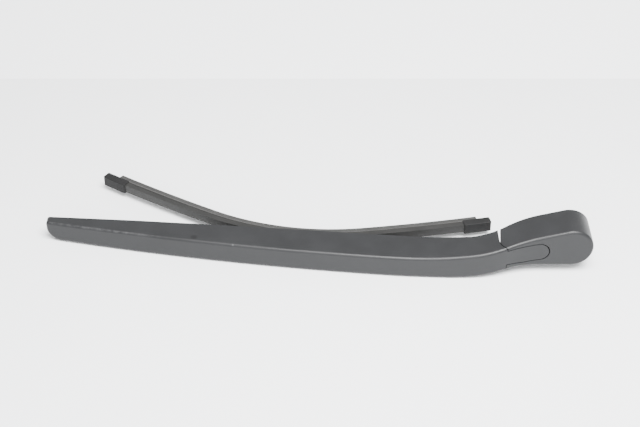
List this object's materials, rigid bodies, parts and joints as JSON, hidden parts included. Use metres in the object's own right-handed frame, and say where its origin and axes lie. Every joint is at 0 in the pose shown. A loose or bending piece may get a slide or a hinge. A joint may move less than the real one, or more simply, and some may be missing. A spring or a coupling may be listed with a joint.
{
  "type": "rear wiper",
  "caption": "Car rear wiper: moulded channel arm sprung on a spindle head with a flip-up cover, carrying a bowed flat blade that rocks under the arm.",
  "frame": {"origin": "on the spindle axis in the rim plane of the head", "axes": "+X along the arm towards the round end of the head, +Y along the spindle bore towards the glass, +Z across the arm, up as the wiper lies on its side"},
  "size_m": [0.4172, 0.1184, 0.0384],
  "materials": {
    "arm_plastic": "satin moulded",
    "cover_plastic": "satin moulded",
    "blade_plastic": "matt moulded",
    "rubber": "matt",
    "casting": "as cast",
    "steel": "bright"
  },
  "bodies": {
    "head": {"mounting_head": "casting", "hinge_pin": "steel", "spring_post": "steel"},
    "cover": {"head_cover": "cover_plastic"},
    "arm": {"arm_shell": "arm_plastic", "spring_anchor": "steel", "blade_pivot_pin": "steel", "tension_spring": "steel"},
    "blade": {"blade_connector": "blade_plastic", "blade_spine": "blade_plastic", "rail_upper": "steel", "rail_lower": "steel", "wiper_rubber": "rubber", "end_cap_outer": "blade_plastic", "end_cap_inner": "blade_plastic"}
  },
  "joints": [
    {"name": "arm_lift", "type": "hinge", "parent": "head", "child": "arm", "pos_m": [-0.0423, -0.0222, 0], "axis": [0, 0, 1], "range_deg": [0, 45], "stiffness_Nm_per_rad": 0.4, "springref_deg": -20.05, "deforming": ["tension_spring"]},
    {"name": "cover_flip", "type": "hinge", "parent": "head", "child": "cover", "pos_m": [-0.0423, -0.0222, 0], "axis": [0, 0, -1], "range_deg": [0, 45]},
    {"name": "blade_rock", "type": "hinge", "parent": "arm", "child": "blade", "pos_m": [-0.2202, -0.0062, 0], "axis": [0, 0, 1], "range_deg": [-6, 12]}
  ]
}
